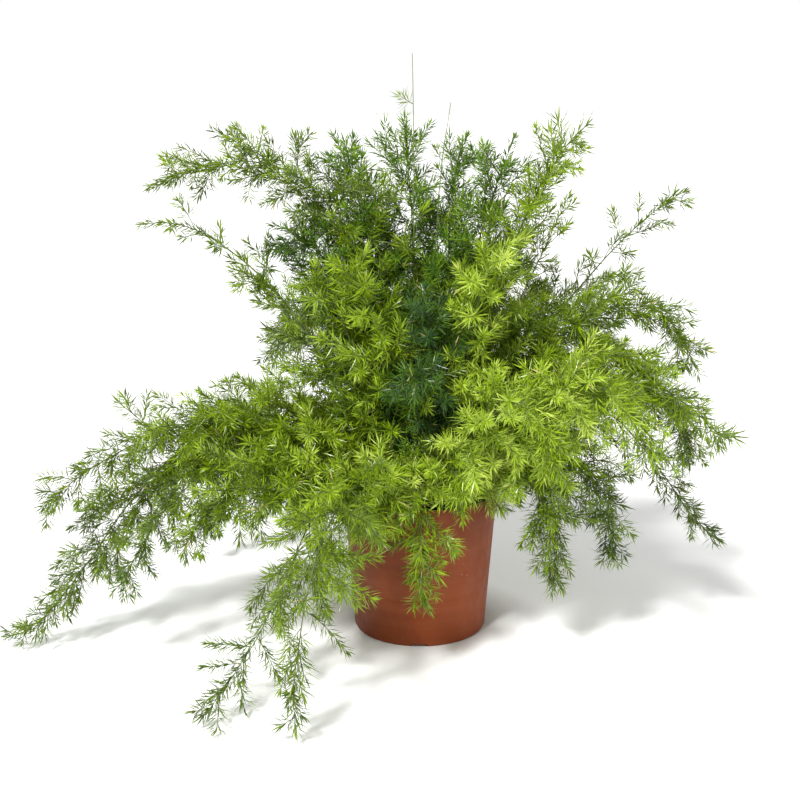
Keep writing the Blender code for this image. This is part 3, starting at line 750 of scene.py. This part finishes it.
class Line:
    """A bent line that is read by its share of length."""

    def __init__(self, points):
        self.points = [Vector(point) for point in points]
        self.lengths = [0.0]
        for start, end in zip(self.points, self.points[1:]):
            self.lengths.append(self.lengths[-1] + (end - start).length)
        self.length = self.lengths[-1]

    def at(self, share):
        """Place and direction at a share of the length."""
        reach = min(max(share, 0.0), 1.0) * self.length
        i = min(int(np.searchsorted(self.lengths, reach, side="right")), len(self.lengths) - 1)
        start, end = self.points[i - 1], self.points[i]
        part = (reach - self.lengths[i - 1]) / (self.lengths[i] - self.lengths[i - 1])
        return start.lerp(end, part), (end - start).normalized()


class Needles:
    """Needles of one frond, kept as lists until they are placed in one go."""

    def __init__(self):
        self.roots, self.ways, self.backs, self.lengths, self.tones = [], [], [], [], []

    def add(self, root, way, back, length, tone):
        """Keep one needle, unless it would stand in the table or the pot."""
        if in_the_open(root + length * way):
            self.roots.append(tuple(root))
            self.ways.append(tuple(way))
            self.backs.append(tuple(back))
            self.lengths.append(length)
            self.tones.append(tone)

    def placed(self, pattern):
        """All needles as points, faces and tones."""
        points, faces = pattern
        roots, ways, backs = np.array(self.roots), np.array(self.ways), np.array(self.backs)
        sides = np.cross(ways, backs)
        sides /= np.linalg.norm(sides, axis=1, keepdims=True)
        backs = np.cross(sides, ways)
        lengths = np.array(self.lengths)[:, None, None]
        made = (roots[:, None, :]
                + points[None, :, 0:1] * NEEDLE_HALF_WIDTH * sides[:, None, :]
                + points[None, :, 1:2] * NEEDLE_HALF_DEPTH * backs[:, None, :]
                + points[None, :, 2:3] * lengths * ways[:, None, :])
        count = len(roots)
        starts = np.arange(count) * len(points)
        all_faces = [[start + i for i in face] for start in starts.tolist() for face in faces]
        rise = NEEDLE_TONE_RISE * (points[None, :, 2] - 0.5)
        tones = np.array(self.tones)[:, None] + rise
        return made.reshape(-1, 3), all_faces, tones.reshape(-1)


def in_the_open(point):
    """Whether a point is above the table and outside the pot."""
    if point.z < TABLE_CLEAR:
        return False
    near_pot = math.hypot(point.x, point.y) < RIM_RADIUS + POT_CLEAR
    return not (near_pot and point.z < POT_HEIGHT + POT_CLEAR)


def needle_pattern():
    """One needle, 1 long: a blade with a keel, pulled from a three-sided cone.

    The cone's foremost foot point is drawn down to be the needle's root, and the other two stay
    as its widest place. The result is given as points and faces.
    """
    needle = primitive(bpy.ops.mesh.primitive_cone_add, "needle", vertices=3, radius1=1,
                       radius2=0, depth=1 - NEEDLE_WIDEST,
                       location=(0, 0, (1 + NEEDLE_WIDEST) / 2))
    bpy.ops.object.transform_apply(location=True, rotation=True, scale=True)
    pick(needle, "verts", lambda point: point.y > 0.5)
    bpy.ops.transform.translate(value=(0, -1, -NEEDLE_WIDEST))
    bpy.ops.object.mode_set(mode="OBJECT")
    points = np.array([v.co for v in needle.data.vertices])
    faces = [tuple(f.vertices) for f in needle.data.polygons]
    bpy.data.objects.remove(needle)
    return points, faces


def root_azimuths():
    """Even steps round each ring, in the order in which its stems lean."""
    found = {}
    for ring in range(len(RING_RADII)):
        members = sorted((f for f in FRONDS if f.ring == ring), key=lambda f: f.azimuth)
        step = 360 / len(members)
        start = sum(f.azimuth - i * step for i, f in enumerate(members)) / len(members)
        found.update({f.name: start + i * step for i, f in enumerate(members)})
    return found


def stem_line(frond, root_azimuth):
    """The stem: its foot in the compost, then one cubic bend with a slight wobble."""
    root = polar(RING_RADII[frond.ring], root_azimuth, SOIL_TOP)
    lean = math.radians(frond.lean)
    way = polar(math.sin(lean), frond.azimuth, math.cos(lean))
    handle = root + frond.rise * way
    shoulder = polar(frond.shoulder_reach, frond.azimuth, frond.shoulder_height)
    tip = polar(frond.reach, frond.azimuth, frond.height)
    points = [root - FOOT_DEPTH * way]
    for i in range(STEM_STEPS + 1):
        t = i / STEM_STEPS
        point = ((1 - t) ** 3 * root + 3 * t * (1 - t) ** 2 * handle
                 + 3 * t * t * (1 - t) * shoulder + t ** 3 * tip)
        shake = noise.noise_vector(point * WOBBLE_SCALE + Vector((frond.azimuth, 0, 0)))
        points.append(point + STEM_WOBBLE * min(1.0, t / WOBBLE_FULL_FROM) * shake)
    return Line(points)


def side_way(way, turn, opening):
    """A direction that opens from a line's own by an angle, turned round it."""
    side = way.orthogonal().normalized()
    out = math.cos(turn) * side + math.sin(turn) * way.cross(side)
    return math.sin(opening) * out + math.cos(opening) * way


def spray_line(spot, stem_way, length, steps, turn, curls, draw):
    """A side twig that bends a little, at the first turn that keeps it in the open."""
    opening = math.radians(draw.uniform(*SPRAY_OPENING))
    hang = draw.uniform(*curls)
    sway = Vector((draw.uniform(-SPRAY_SWAY, SPRAY_SWAY),
                   draw.uniform(-SPRAY_SWAY, SPRAY_SWAY), 0))
    for attempt in range(TURNS_TRIED):
        way = side_way(stem_way, turn + math.radians(TURN_STEP * attempt), opening)
        curl = sway + Vector((0, 0, hang * (1 - attempt / TURNS_TRIED)))
        points = []
        for i in range(steps + 1):
            share = i / steps
            bend = curl + SPRAY_FOLLOW * stem_way
            points.append(spot + length * (share * way + share ** 2 * bend))
        if all(in_the_open(point) for point in points[1:]):
            return Line(points)
    return None


def clothe(line, start, needles, tone, dry_share, draw):
    """Set tufts of needles along a line, from a start in metres to its tip."""
    reach = start
    scale = draw.uniform(*LENGTH_SCALES)
    turn = draw.uniform(0, math.tau)
    last = False
    while not last:
        last = reach >= line.length
        share = min(1.0, reach / line.length)
        spot, way = line.at(share)
        near_tip = max(0.0, (share - NEAR_TIP_FROM) / NEAR_TIP_SHARE)
        tuft = LAST_TUFT if last else draw.choice(TUFT_SIZES)
        for k in range(tuft):
            angle = turn + math.tau * k / tuft + draw.uniform(-NEEDLE_SHUFFLE, NEEDLE_SHUFFLE)
            wide = draw.uniform(*NEEDLE_OPENING) * (1 - TIP_CLOSING * near_tip)
            opening = math.radians(draw.uniform(*TIP_OPENING) if last else wide)
            out = side_way(way, angle, opening)
            length = scale * draw.uniform(*NEEDLE_LENGTHS) * (1 - TIP_SHORTENING * near_tip)
            own = min(LIGHTEST, tone + draw.triangular(*NEEDLE_TONES))
            if draw.random() < dry_share:
                own = DRY_TONE
            needles.add(spot, out, way - out * way.dot(out), length, own)
        turn += math.radians(GOLDEN_ANGLE)
        reach += draw.uniform(*TUFT_GAPS)


def grow(frond, root_azimuth, foliage, draw):
    """The centrelines of one frond's stem and sprays, and all its needles."""
    stem = stem_line(frond, root_azimuth)
    bare = (FOOT_DEPTH + BARE_LENGTH) / stem.length
    branches = [(stem, STEM_RADII)]
    needles = Needles()
    count = max(2, round(frond.sprays * foliage.density))
    turn = draw.uniform(0, math.tau)
    curls = SPRAY_CURLS[frond.ring]
    young = SLOTS[frond.name] == "young_shoot"
    airy = frond.sprays < AIRY_BELOW and not young
    if airy:
        bare = AIRY_FROM
    last = LAST_YOUNG_SPRAY if young else LAST_SPRAYS[frond.ring]
    for i in range(count):
        share = (i + draw.uniform(*SPRAY_SHIFT)) / count
        spot, stem_way = stem.at(bare + (last - bare) * share ** CROWDINGS[frond.ring])
        swell = math.sin(math.pi * min(1.0, share + SWELL_SHIFT))
        length = frond.spread * (SHORTEST_SPRAY + (1 - SHORTEST_SPRAY) * swell)
        length *= draw.uniform(*SPRAY_VARIATION)
        length *= 1 - TIP_TAPERS[frond.ring] * max(0.0, share - TAPER_FROM) / (1 - TAPER_FROM)
        spray = spray_line(spot, stem_way, length, SPRAY_STEPS, turn, curls, draw)
        turn += math.radians(GOLDEN_ANGLE)
        if spray is None:
            continue
        tone = frond.tone + TIP_TONES[frond.ring] * (share - 0.5) + draw.uniform(*SPRAY_TONES)
        branches.append((spray, SPRAY_RADII))
        start = max(FIRST_TUFT, AIRY_BARE * spray.length) if airy else FIRST_TUFT
        clothe(spray, start, needles, tone, foliage.dry_share, draw)
        if length > CHILD_FROM:
            for part in [draw.uniform(*span) for span in CHILD_PARTS]:
                fork, fork_way = spray.at(part)
                child = spray_line(fork, fork_way, draw.uniform(*CHILD_LENGTH), CHILD_STEPS,
                                   draw.uniform(0, math.tau), curls, draw)
                if child is not None:
                    branches.append((child, SPRAY_RADII))
                    clothe(child, FIRST_TUFT, needles, tone, foliage.dry_share, draw)
    if not young:
        tone = frond.tone + STEM_TONE_SHARE * TIP_TONES[frond.ring]
        clothe(stem, stem.length * CLOTHED_STEM_FROM, needles, tone, foliage.dry_share, draw)
    return branches, needles


def branch_mesh(name, branches):
    """Round twigs along the centrelines, from one bevelled curve that is made a mesh."""
    curve = bpy.data.curves.new(name, "CURVE")
    curve.dimensions = "3D"
    curve.bevel_depth = 1.0
    curve.bevel_resolution = 0
    curve.use_fill_caps = True
    for line, (thick, thin) in branches:
        spline = curve.splines.new("POLY")
        spline.points.add(len(line.points) - 1)
        for i, point in enumerate(line.points):
            share = i / (len(line.points) - 1)
            spline.points[i].co = (*point, 1.0)
            spline.points[i].radius = thick + share * (thin - thick)
    holder = bpy.data.objects.new(name, curve)
    bpy.context.collection.objects.link(holder)
    only(holder)
    bpy.ops.object.convert(target="MESH")
    return bpy.context.object


def make_frond(frond, root_azimuth, pattern, foliage, materials, seed):
    """One frond as one mesh: stem, sprays and needles, with a tone at each point."""
    branches, needles = grow(frond, root_azimuth, foliage, random.Random(seed))
    piece = branch_mesh(frond.name + "_fine", branches)
    bpy.ops.object.shade_smooth()
    stem = branches[0][0]
    foot = np.array(stem.points[0])
    places = np.array([v.co for v in piece.data.vertices])
    ages = np.linalg.norm(places - foot, axis=1) / stem.length
    points, faces, tones = needles.placed(pattern)
    mesh = bpy.data.meshes.new("needles")
    mesh.from_pydata(points.tolist(), [], faces)
    mesh.polygons.foreach_set("material_index", [1] * len(mesh.polygons))
    for data, values in ((piece.data, ages), (mesh, tones)):
        tone = data.attributes.new("tone", "FLOAT", "POINT")
        tone.data.foreach_set("value", values.astype(np.float32))
    for data in (piece.data, mesh):
        for material in materials:
            data.materials.append(material)
    cover = bpy.data.objects.new("needles", mesh)
    bpy.context.collection.objects.link(cover)
    join([piece, cover], frond.name + "_fine")
    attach(piece, "root")
    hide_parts(frond.name)


def make_fronds(chosen, foliage, needle_look):
    """Every chosen frond, all with one needle pattern, one stem finish and one needle finish."""
    noise.seed_set(SEED)  # else the stems would wobble anew in each run
    pattern = needle_pattern()
    azimuths = root_azimuths()
    materials = (stem_material(foliage), needle_look)
    for order, frond in enumerate(FRONDS):
        if chosen(frond):
            make_frond(frond, azimuths[frond.name], pattern, foliage, materials, SEED + order)


# Operators and panel

class FERN_OT_pot(bpy.types.Operator):
    """Build the nursery pot"""
    bl_idname = "fern.pot"
    bl_label = "Nursery pot"

    def execute(self, context):
        make_pot(context.scene.fern_pot)
        return {"FINISHED"}


class FERN_OT_compost(bpy.types.Operator):
    """Build the compost in the pot"""
    bl_idname = "fern.compost"
    bl_label = "Compost"

    def execute(self, context):
        make_compost(context.scene.fern_compost)
        return {"FINISHED"}


class FERN_OT_young_shoots(bpy.types.Operator):
    """Grow the two nearly bare young shoots"""
    bl_idname = "fern.young_shoots"
    bl_label = "Young shoots"

    def execute(self, context):
        foliage = context.scene.fern_foliage
        make_fronds(lambda f: SLOTS[f.name] == "young_shoot", foliage,
                    needle_material(foliage, "young_needles", foliage.mid, 0.05))
        return {"FINISHED"}


class FERN_OT_inner_fronds(bpy.types.Operator):
    """Grow the upright fronds inside the plant"""
    bl_idname = "fern.inner_fronds"
    bl_label = "Inner fronds"

    def execute(self, context):
        foliage = context.scene.fern_foliage
        make_fronds(lambda f: SLOTS[f.name] == "inner_foliage", foliage,
                    needle_material(foliage, "grown_needles", foliage.inner, 0.0))
        return {"FINISHED"}


class FERN_OT_outer_fronds(bpy.types.Operator):
    """Grow the arching and trailing fronds outside"""
    bl_idname = "fern.outer_fronds"
    bl_label = "Outer fronds"

    def execute(self, context):
        foliage = context.scene.fern_foliage
        make_fronds(lambda f: SLOTS[f.name] == "outer_foliage", foliage,
                    needle_material(foliage, "fresh_needles", foliage.mid, 0.0))
        return {"FINISHED"}


class FERN_OT_studio(bpy.types.Operator):
    """Set up the floor, the soft lights and the camera"""
    bl_idname = "fern.studio"
    bl_label = "Studio"

    def execute(self, context):
        make_studio(context.scene, context.scene.fern_studio)
        return {"FINISHED"}


def add_light(kind, name, place, energy):
    """A light that looks at the middle of the plant."""
    deselect_all()
    bpy.ops.object.light_add(type=kind, location=place)
    light = bpy.context.object
    light.name = light.data.name = name
    light.data.energy = energy
    aim = Vector(LIGHT_AIM) - Vector(place)
    light.rotation_euler = aim.to_track_quat("-Z", "Y").to_euler()
    return light.data


def make_studio(scene, studio):
    """A pale floor, a large key, a low fill, light from all around and the camera."""
    floor = primitive(bpy.ops.mesh.primitive_plane_add, "studio_floor", size=FLOOR_SIZE,
                      location=(0, 0, -FLOOR_DROP))
    bpy.ops.object.transform_apply(location=True, rotation=True, scale=True)
    floor.data.materials.append(floor_material(studio))
    key = add_light("SUN", "key", KEY_PLACE, studio.key_strength)
    key.angle = math.radians(KEY_ANGLE)
    add_light("AREA", "fill", FILL_PLACE, studio.fill_power).size = FILL_SIZE
    world = bpy.data.worlds.new("white_room")
    world.use_nodes = True
    nodes = Nodes(world.node_tree)
    background = world.node_tree.nodes["Background"]
    background.inputs["Color"].default_value = (1, 1, 1, 1)
    seen = nodes.add("ShaderNodeLightPath").outputs["Is Camera Ray"]
    world.node_tree.links.new(nodes.spread(seen, studio.ambient, 1.0),
                              background.inputs["Strength"])
    scene.world = world
    scene.view_settings.view_transform = "Standard"
    deselect_all()
    turn = (math.radians(90 - studio.camera_pitch), 0, math.radians(studio.camera_yaw))
    bpy.ops.object.camera_add(location=studio.camera_place, rotation=turn)
    camera = bpy.context.object
    camera.name = camera.data.name = "front_camera"
    camera.data.angle = math.radians(studio.view_angle)
    scene.camera = camera


OPERATORS = (FERN_OT_pot, FERN_OT_compost, FERN_OT_young_shoots, FERN_OT_inner_fronds,
             FERN_OT_outer_fronds, FERN_OT_studio)
SETTINGS = {"fern_pot": PotSettings, "fern_compost": CompostSettings,
            "fern_foliage": FoliageSettings, "fern_studio": StudioSettings}


class FERN_PT_panel(bpy.types.Panel):
    """Lists the build steps of the fern"""
    bl_idname = "FERN_PT_panel"
    bl_label = "Potted asparagus fern"
    bl_space_type = "VIEW_3D"
    bl_region_type = "UI"
    bl_category = "Fern"

    def draw(self, context):
        for operator in OPERATORS:
            self.layout.operator(operator.bl_idname)
        for name in SETTINGS:
            box = self.layout.box()
            settings = getattr(context.scene, name)
            for key in settings.__annotations__:
                box.prop(settings, key)


def register():
    """Add the settings, operators and panel."""
    for name, group in SETTINGS.items():
        bpy.utils.register_class(group)
        setattr(bpy.types.Scene, name, bpy.props.PointerProperty(type=group))
    for made in (*OPERATORS, FERN_PT_panel):
        bpy.utils.register_class(made)


def unregister():
    """Remove the settings, operators and panel."""
    for made in (FERN_PT_panel, *reversed(OPERATORS)):
        bpy.utils.unregister_class(made)
    for name, group in SETTINGS.items():
        delattr(bpy.types.Scene, name)
        bpy.utils.unregister_class(group)


def main():
    """Run every build step."""
    register()
    for step in (bpy.ops.fern.studio, bpy.ops.fern.pot, bpy.ops.fern.compost,
                 bpy.ops.fern.young_shoots, bpy.ops.fern.inner_fronds,
                 bpy.ops.fern.outer_fronds):
        step()


if __name__ == "__main__":
    main()
